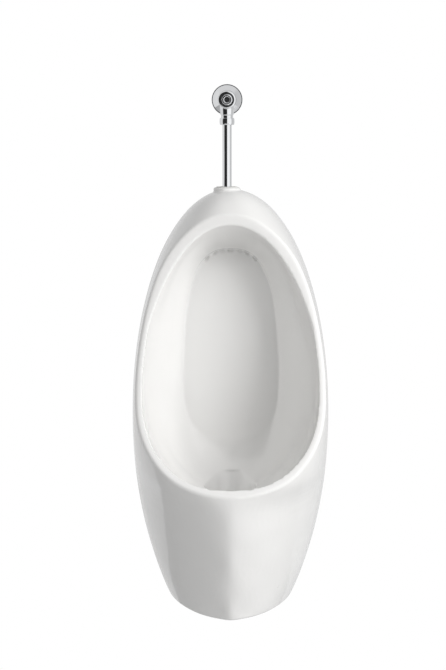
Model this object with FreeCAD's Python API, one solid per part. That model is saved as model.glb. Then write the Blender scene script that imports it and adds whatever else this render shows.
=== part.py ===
import FreeCAD, Part
import math
import os

from FreeCAD import Placement, Rotation, Vector

# A wall hung urinal: a glazed ceramic bowl on two wall hooks, with a push
# button flush valve and pipe above it and a bottle trap hidden in its foot.
#
# Lengths are millimetres. While the pieces are made, x runs to the right,
# "depth" is the distance in front of the wall (depth = -y) and "height" is
# measured up from the bottom of the foot. When a piece is written, it is
# lowered so that z = 0 is the level of the two hook screws.

# ---- ceramic bowl, outside ----
bowl_width = 350.0
bowl_height = 727.0
bowl_reach = 320.0
widest_height = 330.0
fullest_height = 290.0
foot_width = 224.0
foot_reach = 200.0
prow_rake = 0.5
foot_round = 6.0
flank_taper = 0.055
flank_squareness = 5.5
flank_square_height = 460.0
flank_square_spread = 153.0
ridge_share = 0.30
ridge_round = 14.0
ridge_end_height = 262.0
ridge_fade = 50.0
hood_start_height = 650.0
behind_wall = 80.0

# ---- ceramic bowl, mouth and inside ----
ceramic_wall = 12.0
mouth_top_depth = 140.0
mouth_top_height = 680.0
mouth_top_run = 160.0
mouth_lip_depth = 316.0
mouth_lip_height = 240.0
mouth_lip_back = 101.0
mouth_lip_rise = 115.0
rim_round = 5.5
panel_depth = 60.0
panel_half_width = 85.0
panel_top_height = 625.0
panel_foot_height = 290.0
panel_squareness = 2.7
basin_half_width = 150.0
basin_full_depth = 200.0
basin_mid_height = 405.0
basin_floor_height = 210.0
basin_floor_depth = 140.0
basin_back_share = 0.65
basin_side_share = 0.75
hood_slope = 0.575
ledge_overhang = 6.0
ledge_inset = 1.5
ledge_fade_height = 400.0

# ---- sump and waste hole ----
sump_depth = 135.0
sump_half_width = 52.0
sump_half_length = 57.0
sump_top_height = 236.0
sump_floor_height = 190.0
sump_floor_radius = 32.0
sump_floor_thickness = 14.0
waste_hole_radius = 23.0

# ---- flush inlet and spray holes ----
inlet_side = -6.0
inlet_depth = 58.0
inlet_boss_radius = 23.3
inlet_boss_top = 730.0
inlet_bore_radius = 17.0
inlet_bore_end = 680.0
boss_round = 1.5
chamber_half_width = 58.0
chamber_floor_height = 621.0
chamber_length = 98.0
spray_count = 7
spray_pitch = 15.0
spray_radius = 1.5
spray_slot_width = 10.8
spray_slot_height = 4.4
spray_slot_drop = 2.2
spray_slot_floor = 3.5

# ---- wall fixings ----
hook_height = 600.0
hook_spacing = 155.0
hook_screw_drop = 30.0
hook_width = 35.0
hook_plate = 3.0
hook_bend_radius = 2.4
hook_leg_length = 52.0
hook_arm_length = 19.0
hook_lip_rise = 12.0
hook_slot_play = 1.5
lower_spacing = 216.0
lower_height = 66.0
tab_thickness = 12.0
tab_size = 32.0
screw_radius = 3.5
screw_length = 70.0
screw_head_width = 13.0
screw_head_thickness = 5.3
screw_hole_play = 1.0
screw_point = 8.0
screw_tip_radius = 0.7
screw_head_chamfer = 0.6
thread_turns = 10
thread_pitch = 3.2
thread_depth = 0.8
thread_root = 0.8
washer_radius = 9.0
washer_thickness = 1.6
plug_radius = 5.0
plug_length = 60.0
plug_ribs_start = 12.0
plug_ribs = 8
plug_rib_depth = 0.7
plug_rib_share = 0.8

# ---- flush valve ----
valve_height = 880.0
tail_radius = 10.4775
tail_length = 22.0
tail_pitch = 1.814
tail_grooves = 9
tail_thread_depth = 1.0
tail_thread_root = 0.4
inlet_way_radius = 7.0
body_radius = 15.0
body_front = 61.0
seat_depth = 30.0
seat_thickness = 3.0
seat_way_radius = 4.5
outlet_room_radius = 11.0
bonnet_thread_radius = 12.0
bonnet_thread_length = 5.0
bonnet_radius = 15.6
bonnet_front = 80.0
bonnet_floor_depth = 68.0
bonnet_bevel = 2.2
bonnet_mouth_bevel = 1.2
bonnet_seal_thickness = 1.0
bonnet_seal_inset = 0.6
spindle_seal_radius = 4.0
spindle_seal_length = 2.4
button_radius = 8.8
button_front = 84.0
button_rear = 75.0
button_socket = 5.0
button_bevel = 1.0
button_dish_radius = 5.4
button_dish_slope = 0.8
button_dish_depth = 1.6
button_dish_cone = 0.6
spindle_radius = 2.0
spindle_collar_rim = 1.2
spindle_collar_length = 1.5
piston_radius = 6.2
piston_length = 10.0
piston_bevel = 1.5
piston_flutes = 4
piston_flute_width = 2.4
piston_flute_depth = 1.4
piston_washer_thickness = 3.0
piston_washer_inset = 0.3
spring_wire_radius = 0.55
spring_turns = 6
spring_inset = 1.5
spring_end_gap = 0.1
strainer_depth = 0.0
strainer_thickness = 2.5
strainer_holes = 6
strainer_hole_radius = 0.9
strainer_ring_radius = 3.0
flange_radius = 27.0
flange_rise = 8.0
flange_sheet = 1.5
flange_lip_width = 1.6
flange_lip_rise = 1.0
flange_hub_radius = 16.6
flange_hub_length = 2.6
flange_front = 10.0
spout_depth = 48.0
spout_root_radius = 13.5
spout_radius = 11.4
spout_thread_radius = 10.4
spout_shoulder_drop = 26.0
spout_end_drop = 37.5
spout_way_radius = 6.0
nut_radius = 12.6
nut_height = 12.0
nut_floor = 2.5
nut_foot_drop = 43.0
nut_crown = 2.0
nut_swell = 0.3

# ---- flush pipe ----
pipe_radius = 8.0
pipe_wall = 1.0
pipe_bend_radius = 60.0
pipe_bend_drop = 86.0
pipe_last_bend_rise = 9.0
pipe_entry = 18.0
pipe_insertion = 18.0
inlet_seal_lip = 1.2
inlet_seal_lip_radius = 19.0
inlet_seal_lip_slope = 1.0
inlet_seal_length = 16.0
inlet_seal_taper = 2.0
inlet_seal_taper_length = 3.0

# ---- waste fitting ----
waste_flange_radius = 29.0
waste_flange_thickness = 3.0
waste_flange_bevel = 1.0
waste_tail_radius = 20.5
waste_way_radius = 17.5
waste_tail_end = 140.0
waste_seal_thickness = 2.0
waste_seal_inset = 0.5
backnut_radius = 29.0
backnut_height = 10.0
backnut_crown = 2.0
backnut_crown_drop = 1.2
backnut_seal_inset = 1.0
grid_radius = 24.0
grid_thickness = 2.0
grid_round = 0.5
grid_hole_radius = 2.5
grid_ring_radii = (9.5, 17.0)
grid_ring_counts = (6, 12)
grid_screw_radius = 2.5
grid_screw_length = 16.0
grid_screw_head_radius = 4.5
grid_screw_head_rise = 2.2
grid_screw_crown_radius = 2.7
grid_screw_crown_rise = 1.8
grid_screw_slot_width = 1.0
grid_screw_slot_floor = 1.1
waste_bar_width = 7.0
waste_bar_height = 8.0
waste_hub_radius = 5.25

# ---- bottle trap ----
trap_neck_radius = 17.0
trap_way_radius = 14.5
trap_nut_radius = 27.0
trap_nut_height = 22.0
trap_nut_lip = 4.0
trap_nut_bevel = 1.5
trap_neck_flange = 5.5
trap_seal_thickness = 2.5
trap_head_radius = 33.0
trap_head_top = 119.0
trap_head_bottom = 78.0
trap_head_bevel = 3.0
trap_wall = 2.6
cup_radius = 30.0
cup_bottom = 28.0
cup_inset = 1.0
cup_chamfer = 7.0
cup_grip_length = 7.0
cup_grip_slope = 2.1
cup_thread_top = 84.5
cup_seal_thickness = 1.5
cup_seal_inset = 0.5
dip_tube_end = 48.0
outlet_height = 99.0
outlet_pipe_radius = 16.0
outlet_pipe_wall = 1.8
outlet_socket_radius = 19.5
outlet_socket_length = 16.0
outlet_stop_inset = 1.5
outlet_port_run = 10.0
outlet_nut_radius = 23.5
outlet_nut_length = 14.5
outlet_nut_lip = 1.5
outlet_nut_bevel = 1.0
outlet_seal_thickness = 2.5
outlet_pipe_tail = 40.0
outlet_mark_width = 1.5
outlet_mark_depth = 0.4
collar_radius = 34.0
collar_edge = 0.6
collar_slope = 6.0
collar_thickness = 5.0

flute_count = 16
flute_radius = 3.0
flute_depth = 0.9

# ---- named clearances ----
slip_fit = 0.05
loose_fit = 0.2
soft_gap = 0.3
overcut = 1.0

# ---- fineness of the curved outlines ----
fine_steps = 120
section_steps = 16
basin_steps = 32

# ---- places that follow from the sizes above ----
half_width = bowl_width / 2
hook_screw_height = hook_height - hook_screw_drop
waste_seat_height = sump_floor_height - sump_floor_thickness
waste_flange_bottom = sump_floor_height + waste_seal_thickness
waste_flange_top = waste_flange_bottom + waste_flange_thickness
backnut_top = waste_seat_height - waste_seal_thickness
neck_top = waste_tail_end - trap_seal_thickness
socket_mouth_depth = sump_depth - trap_head_radius - outlet_socket_length
socket_stop_depth = sump_depth - trap_head_radius + outlet_stop_inset
far = 2 * bowl_height

INTO_WALL = Vector(0, 1, 0)
OUT_OF_WALL = Vector(0, -1, 0)
UP = Vector(0, 0, 1)
DOWN = Vector(0, 0, -1)


# ======================================================================
# general helpers
# ======================================================================

def place(x, depth, height):
    return Vector(x, -depth, height)


def block(x_low, x_high, depth_low, depth_high, height_low, height_high):
    corner = place(x_low, depth_high, height_low)
    return Part.makeBox(x_high - x_low, depth_high - depth_low, height_high - height_low, corner)


def rod(radius, start, end):
    run = end.sub(start)
    return Part.makeCylinder(radius, run.Length, start, run)


def lathe(profile, base, axis):
    """Turn a closed profile of (radius, distance along the axis) about an axis."""
    corners = [Vector(radius, 0, along) for radius, along in profile]
    face = Part.Face(Part.makePolygon(corners + corners[:1]))
    turned = face.revolve(Vector(0, 0, 0), Vector(0, 0, 1), 360)
    turned.Placement = Placement(base, Rotation(Vector(0, 0, 1), axis))
    return Part.Solid(turned) if turned.ShapeType == "Shell" else turned


def ring(outer, inner, base, axis, length):
    profile = [(inner, 0), (outer, 0), (outer, length), (inner, length)]
    return lathe(profile, base, axis)


def circle_edges(shape, radius, axis_spot=None):
    """The round edges of one radius, and at one place along the axis if it is given."""
    found = []
    for edge in shape.Edges:
        curve = edge.Curve
        if not hasattr(curve, "Radius") or abs(curve.Radius - radius) > 1e-4:
            continue
        if axis_spot is None or curve.Center.sub(axis_spot).Length < 1e-4:
            found.append(edge)
    return found


def closed_spline(points, parameters):
    curve = Part.BSplineCurve()
    curve.interpolate(Points=points, PeriodicFlag=True, Parameters=parameters)
    return Part.Wire(curve.toShape())


def chord_parameters(points):
    """Spline parameters that follow the distances along one closed outline."""
    lengths = [0.0]
    for here, there in zip(points, points[1:] + points[:1]):
        lengths.append(lengths[-1] + here.sub(there).Length)
    return [length / lengths[-1] for length in lengths]


def spaced(spots, shares):
    """Spots at the given shares of the way along a fine polyline."""
    lengths = [0.0]
    for here, there in zip(spots, spots[1:]):
        lengths.append(lengths[-1] + math.dist(here, there))
    chosen = []
    index = 0
    for share in shares:
        goal = share * lengths[-1]
        while index < len(spots) - 2 and lengths[index + 1] < goal:
            index += 1
        part = (goal - lengths[index]) / (lengths[index + 1] - lengths[index])
        here, there = spots[index], spots[index + 1]
        chosen.append(tuple(a + (b - a) * part for a, b in zip(here, there)))
    return chosen


def skin(outlines, parameters):
    return Part.makeLoft([closed_spline(outline, parameters) for outline in outlines], True, False)


def save(name, shape):
    """Write one node with z = 0 at the hook screws."""
    lowered = shape.copy()
    lowered.translate(Vector(0, 0, -hook_screw_height))
    lowered.exportStep("parts/" + name + ".step")


# ======================================================================
# outside of the bowl: a torpedo with level sections
# ======================================================================

def width_at(height, inset):
    """Half the width at the wall: two half ellipses that meet at the widest level."""
    top = bowl_height - inset
    if height >= widest_height:
        share = (height - widest_height) / (top - widest_height)
    else:
        foot_share = foot_width / bowl_width
        share = (widest_height - height) / widest_height * math.sqrt(1 - foot_share ** 2)
    return (half_width - inset) * math.sqrt(max(0.0, 1 - share ** 2))


def hood_share(height, inset):
    """How far up the hood a level is, from 0 where the hood starts to 1 at its top."""
    top = bowl_height - inset
    return max(0.0, (height - hood_start_height) / (top - hood_start_height))


def middle_at(height, inset):
    """Depth of the widest point of a section: it moves out under the inlet in the hood."""
    return inlet_depth * hood_share(height, inset) ** 2


def reach_at(height, inset):
    """Depth of the front, with the raked prow below and a quarter oval above."""
    reach = bowl_reach - inset
    if height >= fullest_height:
        share = (height - fullest_height) / (bowl_height - inset - fullest_height)
        middle = middle_at(height, inset)
        return middle + (reach - middle) * math.sqrt(max(0.0, 1 - share ** 2))
    t = height / fullest_height
    foot_part = (2 * t ** 3 - 3 * t ** 2 + 1) * (foot_reach - inset)
    rake_part = (t ** 3 - 2 * t ** 2 + t) * fullest_height * prow_rake
    full_part = (3 * t ** 2 - 2 * t ** 3) * reach
    return foot_part + rake_part + full_part


def squareness_at(height):
    """Exponent of the section: 2 is an ellipse, and more is squarer."""
    offset = (height - flank_square_height) / flank_square_spread
    return 2 + flank_squareness * math.exp(-offset ** 2)


def ridge_at(height):
    """Share of the half width by which the two prow arcs pass the middle."""
    fade = (ridge_end_height - height) / ridge_fade
    fade = min(1.0, max(0.0, fade))
    return ridge_share * fade * fade * (3 - 2 * fade)


def front_half(height, inset):
    """Right half of a section, from its widest point to the middle of the front."""
    width = width_at(height, inset)
    middle = middle_at(height, inset)
    reach = reach_at(height, inset) - middle
    power = squareness_at(height)
    past = ridge_at(height) * width
    key = past / (width + past)
    crown = (1 - key ** power) ** (1 / power)
    slope = reach / (width + past) * (key / crown) ** (power - 1) / crown
    full_reach = (reach + slope * ridge_round) / crown
    last_turn = math.atan2(crown, key)
    half = []
    for step in range(fine_steps + 1):
        turn = last_turn * step / fine_steps
        radius = (math.cos(turn) ** power + math.sin(turn) ** power) ** (-1 / power)
        x = max(0.0, (width + past) * radius * math.cos(turn) - past)
        ahead = full_reach * radius * math.sin(turn)
        ahead -= slope * (math.sqrt(x ** 2 + ridge_round ** 2) - x) * min(1.0, ahead / reach)
        narrowing = 1 - flank_taper * ahead / half_width
        half.append((x * narrowing, middle + ahead))
    return half


def section_shares():
    """Shares of the way round half a section, closer together at the prow's ridge."""
    return [1 - (1 - step / section_steps) ** 1.5 for step in range(section_steps + 1)]


def section_parameters():
    shares = section_shares()
    return [share / 2 for share in shares] + [1 - share / 2 for share in reversed(shares[:-1])]


def bowl_section(height, inset):
    """One closed level section, from the middle of its back round by the right."""
    width = width_at(height, inset)
    middle = middle_at(height, inset)
    back = behind_wall * math.sqrt(max(0.0, 1 - hood_share(height, inset) ** 8))
    spots = []
    for step in range(fine_steps):
        turn = math.pi / 2 * (1 - step / fine_steps)
        spots.append((width * math.cos(turn), middle - back * math.sin(turn)))
    spots += front_half(height, inset)
    half = spaced(spots, section_shares())
    half[0] = (0.0, half[0][1])
    half[-1] = (0.0, half[-1][1])
    outline = half + [(-x, depth) for x, depth in reversed(half[1:-1])]
    return [place(x, depth, height) for x, depth in outline]


def bowl_levels(bottom, top):
    """Levels of the sections, closer together at the lip and in the hood's crown."""
    shares = (0.0, 0.055, 0.125, 0.195, 0.255, 0.295, 0.33, 0.36, 0.40, 0.455, 0.525,
              0.605, 0.69, 0.77, 0.84, 0.895, 0.935, 0.962, 0.981, 0.992, 0.9985)
    return [bottom + (top - bottom) * share for share in shares]


def torpedo(inset, bottom):
    levels = bowl_levels(bottom, bowl_height - inset)
    return skin([bowl_section(level, inset) for level in levels], section_parameters())


# ======================================================================
# inside of the bowl
# ======================================================================

def basin_half_at(depth):
    if depth >= basin_full_depth:
        return basin_half_width
    share = (basin_full_depth - depth) / (basin_full_depth - panel_depth)
    return basin_half_width - (basin_half_width - panel_half_width) * share ** 2


def basin_floor_at(depth):
    if depth >= basin_floor_depth:
        return basin_floor_height
    share = (basin_floor_depth - depth) / (basin_floor_depth - panel_depth)
    rise = panel_foot_height - basin_floor_height
    return basin_floor_height + rise * (1 - math.sqrt(1 - share ** 2))


def basin_section(depth, grow):
    """An upright closed section of the basin, from the middle of its floor round by the right."""
    inner = max(panel_depth, depth + basin_back_share * grow)
    aside = basin_side_share * grow
    half = basin_half_at(inner) + aside
    top = panel_top_height + hood_slope * (inner - panel_depth) + aside
    floor = basin_floor_at(inner) - grow
    fade = min(1.0, (inner - panel_depth) / (mouth_top_depth - panel_depth))
    power = panel_squareness + (2 - panel_squareness) * fade
    points = []
    for step in range(basin_steps):
        turn = 2 * math.pi * step / basin_steps - math.pi / 2
        across, up = math.cos(turn), math.sin(turn)
        radius = (abs(across) ** power + abs(up) ** power) ** (-1 / power)
        reach = top - basin_mid_height if up > 0 else basin_mid_height - floor
        points.append(place(half * radius * across, depth, basin_mid_height + reach * radius * up))
    return points


def basin(grow):
    """The basin from its flat back panel forward, larger all round by the wall it needs."""
    first = panel_depth - grow
    depths = [first]
    for share in (0.015, 0.05, 0.11, 0.18, 0.27, 0.37, 0.47, 0.57, 0.67, 0.77, 0.885, 1.0):
        depths.append(first + (bowl_reach + 2 * ceramic_wall - first) * share)
    parameters = chord_parameters(basin_section(basin_floor_depth, 0))
    return skin([basin_section(depth, grow) for depth in depths], parameters)


def panel_ledge():
    """A thin wedge off the back panel: deepest under the hood, nothing lower down."""
    outline = basin_section(panel_depth, -ledge_inset)
    wire = closed_spline(outline, chord_parameters(outline))
    plate = Part.Face(wire).extrude(Vector(0, 2 * ledge_overhang, 0))
    profile = [place(0, panel_depth, ledge_fade_height),
               place(0, panel_depth - ledge_overhang, panel_top_height),
               place(0, panel_depth - ledge_overhang, panel_top_height + ceramic_wall),
               place(0, panel_depth + overcut, panel_top_height + ceramic_wall),
               place(0, panel_depth + overcut, ledge_fade_height)]
    wedge = Part.Face(Part.makePolygon(profile + profile[:1])).extrude(Vector(bowl_width, 0, 0))
    wedge.translate(Vector(-bowl_width / 2, 0, 0))
    plate.translate(Vector(0, -overcut, 0))
    return plate.common(wedge)


def mouth_curve():
    """Side view of the rim: upright under the hood, then sweeping out to the lip."""
    curve = Part.BezierCurve()
    curve.setPoles([place(0, mouth_top_depth, mouth_top_height),
                    place(0, mouth_top_depth, mouth_top_height - mouth_top_run),
                    place(0, mouth_lip_depth - mouth_lip_back, mouth_lip_height + mouth_lip_rise),
                    place(0, mouth_lip_depth, mouth_lip_height)])
    return curve.toShape()


def mouth_face():
    face = mouth_curve().extrude(Vector(2 * bowl_width, 0, 0))
    face.translate(Vector(-bowl_width, 0, 0))
    return face


def mouth():
    """All that lies in front of the mouth, carried right across the bowl."""
    lip = place(0, mouth_lip_depth, mouth_lip_height)
    past = place(0, mouth_lip_depth + mouth_lip_back, mouth_lip_height - mouth_lip_rise)
    corner = place(0, mouth_lip_depth + mouth_lip_back, far)
    above = place(0, mouth_top_depth, far)
    top = place(0, mouth_top_depth, mouth_top_height)
    sides = Part.makePolygon([lip, past, corner, above, top])
    cutter = Part.Face(Part.Wire([mouth_curve()] + sides.Edges)).extrude(Vector(2 * bowl_width, 0, 0))
    cutter.translate(Vector(-bowl_width, 0, 0))
    return cutter


def sump(grow):
    """The well under the basin, and with grow the ceramic round it."""
    top = Part.Ellipse(place(0, sump_depth + sump_half_length + grow, sump_top_height),
                       place(sump_half_width + grow, sump_depth, sump_top_height),
                       place(0, sump_depth, sump_top_height))
    bottom = Part.Circle(place(0, sump_depth, sump_floor_height), UP, sump_floor_radius + grow)
    bottom.rotate(Placement(place(0, sump_depth, sump_floor_height), Rotation(UP, -90)))
    return Part.makeLoft([Part.Wire(bottom.toShape()), Part.Wire(top.toShape())], True, True)


def hollow():
    """The room behind and under the basin, open to the wall and to the floor."""
    room = torpedo(ceramic_wall, -overcut)
    room = room.cut(basin(ceramic_wall))
    room = room.cut(sump(ceramic_wall))
    seat = rod(sump_floor_radius + ceramic_wall, place(0, sump_depth, waste_seat_height),
               place(0, sump_depth, sump_top_height))
    room = room.cut(seat)
    return room.common(block(-far, far, -far, far, -far, hook_height))


def chamber():
    """The closed water room in the hood, over the spray holes."""
    box = block(-chamber_half_width, chamber_half_width, ceramic_wall, ceramic_wall + chamber_length,
                chamber_floor_height, bowl_height)
    return torpedo(ceramic_wall, 0).common(box).cut(basin(ceramic_wall))


def spray_height(x):
    """Height of the panel's arch over one spray hole."""
    share = (abs(x) / panel_half_width) ** panel_squareness
    rise = panel_top_height - basin_mid_height
    return basin_mid_height + rise * (1 - share) ** (1 / panel_squareness)


def spray_slot(x, back):
    """One pocket just under the ledge, open to the front and tilted to follow the arch."""
    fall = spray_height(x - overcut) - spray_height(x + overcut)
    tilt = math.degrees(math.atan2(fall, 2 * overcut))
    slot = block(-spray_slot_width / 2, spray_slot_width / 2, back, panel_depth - overcut,
                 -spray_slot_drop - spray_slot_height, -spray_slot_drop)
    slot.rotate(Vector(0, 0, 0), INTO_WALL, tilt)
    slot.translate(Vector(x, 0, spray_height(x)))
    return slot


def spray_holes():
    """Seven slots in the panel's top, each fed by a hole from the water room above."""
    back = panel_depth - ledge_overhang - spray_slot_floor
    holes = []
    for index in range(spray_count):
        x = (index - (spray_count - 1) / 2) * spray_pitch
        slot_middle = spray_height(x) - spray_slot_drop - spray_slot_height / 2
        start = place(x, back + soft_gap + spray_radius, slot_middle)
        holes.append(spray_slot(x, back))
        holes.append(rod(spray_radius, start, start.add(Vector(0, 0, 3 * ceramic_wall))))
    return holes


def fixing_tabs():
    """Two tabs for the lower screws, each running out into the side wall of the foot."""
    inner = lower_spacing / 2 - tab_size / 2
    low, high = lower_height - tab_size / 2, lower_height + tab_size / 2
    foot = torpedo(ceramic_wall / 2, 0)
    tabs = [block(inner, half_width, 0, tab_thickness, low, high),
            block(-half_width, -inner, 0, tab_thickness, low, high)]
    return [tab.common(foot) for tab in tabs]


def hook_slots():
    slots = []
    for side in (-1, 1):
        x = side * hook_spacing / 2
        slots.append(block(x - hook_width / 2 - hook_slot_play, x + hook_width / 2 + hook_slot_play,
                           hook_arm_length - hook_plate - hook_slot_play, hook_arm_length + hook_slot_play,
                           hook_height - overcut, hook_height + hook_lip_rise + hook_slot_play))
    return slots


def mouth_edges(body):
    """The outer edge of the rim, where the mouth meets the outside of the bowl."""
    rim = mouth_face()
    found = []
    for edge in body.Edges:
        middle = edge.valueAt((edge.FirstParameter + edge.LastParameter) / 2)
        if rim.distToShape(Part.Vertex(middle))[0] < 0.01:
            found.append(edge)
    return found


def bowl_outside():
    """The solid bowl, flat against the wall, with a round foot and a rolled rim."""
    body = torpedo(0, 0)
    foot = [edge for edge in body.Edges if edge.BoundBox.ZMax < 0.1]
    body = body.makeFillet(foot_round, foot)
    body = body.cut(block(-far, far, -far, 0, -far, far))
    body = body.cut(mouth())
    return body.makeFillet(rim_round, mouth_edges(body))


def inlet_boss():
    foot = place(inlet_side, inlet_depth, inlet_boss_top - inlet_boss_radius)
    head = place(inlet_side, inlet_depth, inlet_boss_top)
    boss = rod(inlet_boss_radius, foot, head)
    return boss.makeFillet(boss_round, circle_edges(boss, inlet_boss_radius, head))


def cavity():
    """The open room inside the bowl, one wall in from its outside."""
    return torpedo(ceramic_wall, basin_floor_height / 2).common(basin(0))


def through_holes():
    """The inlet bore, the waste hole and the two lower screw holes."""
    inlet = rod(inlet_bore_radius, place(inlet_side, inlet_depth, inlet_bore_end),
                place(inlet_side, inlet_depth, inlet_boss_top + overcut))
    waste = rod(waste_hole_radius, place(0, sump_depth, waste_seat_height - overcut),
                place(0, sump_depth, sump_floor_height + overcut))
    holes = [inlet, waste]
    for side in (-1, 1):
        x = side * lower_spacing / 2
        holes.append(rod(screw_radius + screw_hole_play, place(x, -overcut, lower_height),
                         place(x, tab_thickness + overcut, lower_height)))
    return holes


def ceramic_body():
    body = bowl_outside().cut(cavity()).cut(hollow())
    body = body.fuse(fixing_tabs()).fuse(inlet_boss())
    body = body.cut(chamber())
    for cutter in [sump(0), panel_ledge()] + spray_holes() + hook_slots() + through_holes():
        body = body.cut(cutter)
    return body


# ======================================================================
# wall fixings
# ======================================================================

def hook(side):
    """A steel hook: a leg on the wall, an arm under the bowl and a lip behind its web."""
    x = side * hook_spacing / 2
    low, high = x - hook_width / 2, x + hook_width / 2
    leg = block(low, high, 0, hook_plate, hook_height - hook_leg_length, hook_height)
    arm = block(low, high, 0, hook_arm_length, hook_height - hook_plate, hook_height)
    lip = block(low, high, hook_arm_length - hook_plate, hook_arm_length,
                hook_height - hook_plate, hook_height + hook_lip_rise)
    body = leg.fuse([arm, lip]).removeSplitter()
    bends = [edge for edge in body.Edges
             if edge.BoundBox.XLength > hook_width - 0.1 and is_outer_bend(edge)]
    body = body.makeFillet(hook_bend_radius, bends)
    hole = rod(screw_radius + screw_hole_play, place(x, -overcut, hook_screw_height),
               place(x, hook_plate + overcut, hook_screw_height))
    return body.cut(hole)


def is_outer_bend(edge):
    """The two outer corners of the hook, under its arm."""
    centre = edge.CenterOfMass
    at_arm = abs(centre.z - (hook_height - hook_plate)) < 0.01
    at_lip = abs(-centre.y - hook_arm_length) < 0.01
    return at_arm and at_lip


def wall_screw(x, height, seat):
    """A hexagon head screw whose head bears on a washer at the depth called seat."""
    point_start = seat - screw_length + screw_point
    shank = rod(screw_radius, place(x, seat, height), place(x, point_start, height))
    cone = Part.makeCone(screw_radius, screw_tip_radius, screw_point, place(x, point_start, height),
                         INTO_WALL)
    corner = screw_head_width / math.sqrt(3)
    turns = [math.pi / 3 * index for index in range(6)]
    hexagon = [place(x + corner * math.cos(turn), seat, height + corner * math.sin(turn))
               for turn in turns]
    head = Part.Face(Part.makePolygon(hexagon + hexagon[:1])).extrude(place(0, screw_head_thickness, 0))
    dome = Part.makeCone(corner + screw_head_chamfer, corner - 2 * screw_head_chamfer, screw_head_thickness,
                         place(x, seat, height), OUT_OF_WALL)
    body = head.common(dome).fuse([shank, cone])
    groove = v_groove(screw_radius, thread_depth, thread_pitch, thread_root)
    for turn in range(thread_turns):
        at = point_start + (turn + 1) * thread_pitch
        body = body.cut(lathe(groove, place(x, at, height), INTO_WALL))
    return body


def v_groove(radius, depth, width, root):
    """Profile of one ring of a thread, its middle at 0."""
    return [(radius + overcut, -width / 2), (radius - depth, -root / 2),
            (radius - depth, root / 2), (radius + overcut, width / 2)]


def fixing_places():
    """Side, height and depth of the seat of the four wall screws."""
    places = []
    for side in (-1, 1):
        places.append((side * hook_spacing / 2, hook_screw_height, hook_plate))
    for side in (-1, 1):
        places.append((side * lower_spacing / 2, lower_height, tab_thickness))
    return places


def wall_screws():
    return [wall_screw(x, height, seat + washer_thickness) for x, height, seat in fixing_places()]


def screw_washers():
    bore = screw_radius + loose_fit
    return [ring(washer_radius, bore, place(x, seat, height), OUT_OF_WALL, washer_thickness)
            for x, height, seat in fixing_places()]


def wall_plug(x, height):
    """A ribbed plug with a thin collar, sunk flush into the wall."""
    profile = [(screw_radius + slip_fit, 0), (plug_radius, 0)]
    rib = (plug_length - plug_ribs_start) / plug_ribs
    for index in range(plug_ribs):
        at = plug_ribs_start + index * rib
        profile += [(plug_radius, at), (plug_radius - plug_rib_depth, at + rib * plug_rib_share)]
    profile += [(plug_radius - plug_rib_depth, plug_length), (screw_radius + slip_fit, plug_length)]
    return lathe(profile, place(x, 0, height), INTO_WALL)


def wall_plugs():
    return [wall_plug(x, height) for x, height, _ in fixing_places()]


# ======================================================================
# flush valve: everything is turned about one line that runs into the wall
# ======================================================================

def valve_spot(depth):
    return place(inlet_side, depth, valve_height)


def valve_turned(profile):
    """A profile of (radius, depth) turned about the valve's line."""
    return lathe(profile, valve_spot(0), OUT_OF_WALL)


def spout_spot(drop):
    return place(inlet_side, spout_depth, valve_height - drop)


def valve_body():
    shell = valve_turned([(0, -tail_length), (tail_radius, -tail_length), (tail_radius, flange_rise),
                          (body_radius, flange_rise), (body_radius, body_front), (0, body_front)])
    cone = Part.makeCone(spout_root_radius, spout_radius, spout_shoulder_drop, spout_spot(0), DOWN)
    spout = rod(spout_thread_radius, spout_spot(0), spout_spot(spout_end_drop))
    shell = shell.fuse([cone, spout])
    washer_room = seat_depth + seat_thickness
    rooms = [valve_turned([(0, -tail_length - overcut), (inlet_way_radius, -tail_length - overcut),
                           (inlet_way_radius, seat_depth), (0, seat_depth)]),
             valve_turned([(0, seat_depth - overcut), (seat_way_radius, seat_depth - overcut),
                           (seat_way_radius, washer_room), (outlet_room_radius, washer_room),
                           (outlet_room_radius, body_front - bonnet_thread_length),
                           (bonnet_thread_radius, body_front - bonnet_thread_length),
                           (bonnet_thread_radius, body_front + overcut), (0, body_front + overcut)]),
             rod(spout_way_radius, spout_spot(0), spout_spot(spout_end_drop + overcut)),
             rod(pipe_radius + slip_fit, spout_spot(spout_end_drop - pipe_entry),
                 spout_spot(spout_end_drop + overcut))]
    for room in rooms:
        shell = shell.cut(room)
    groove = v_groove(tail_radius, tail_thread_depth, tail_pitch, tail_thread_root)
    for turn in range(tail_grooves):
        at = -tail_length + (turn + 1) * tail_pitch
        shell = shell.cut(lathe(groove, valve_spot(at), OUT_OF_WALL))
    return shell


def wall_flange():
    """A dished cover round the inlet: a flat lip on the wall, a slope and a hub."""
    bore = body_radius + slip_fit
    rim = flange_radius - flange_lip_width
    profile = [(bore, flange_front), (bore, flange_front - flange_hub_length), (rim - flange_sheet, 0),
               (flange_radius, 0), (flange_radius, flange_lip_rise), (rim, flange_lip_rise),
               (flange_hub_radius, flange_front)]
    return valve_turned(profile)


def valve_bonnet():
    """The cap that screws into the body, with a pocket for the button and a seat for its seal."""
    thread_start = body_front - bonnet_thread_length + soft_gap
    thread = bonnet_thread_radius - slip_fit
    bore = spindle_radius + slip_fit
    pocket = button_radius + loose_fit
    back = body_front + bonnet_seal_thickness
    seal_floor = bonnet_floor_depth - spindle_seal_length
    profile = [(bore, thread_start), (thread, thread_start), (thread, back), (bonnet_radius, back),
               (bonnet_radius, bonnet_front - bonnet_bevel), (bonnet_radius - bonnet_bevel, bonnet_front),
               (pocket + bonnet_mouth_bevel, bonnet_front), (pocket, bonnet_front - bonnet_mouth_bevel),
               (pocket, bonnet_floor_depth), (spindle_seal_radius, bonnet_floor_depth),
               (spindle_seal_radius, seal_floor), (bore, seal_floor)]
    return valve_turned(profile)


def bonnet_seal():
    return ring(body_radius - bonnet_seal_inset, bonnet_thread_radius + loose_fit, valve_spot(body_front),
                OUT_OF_WALL, bonnet_seal_thickness)


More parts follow.
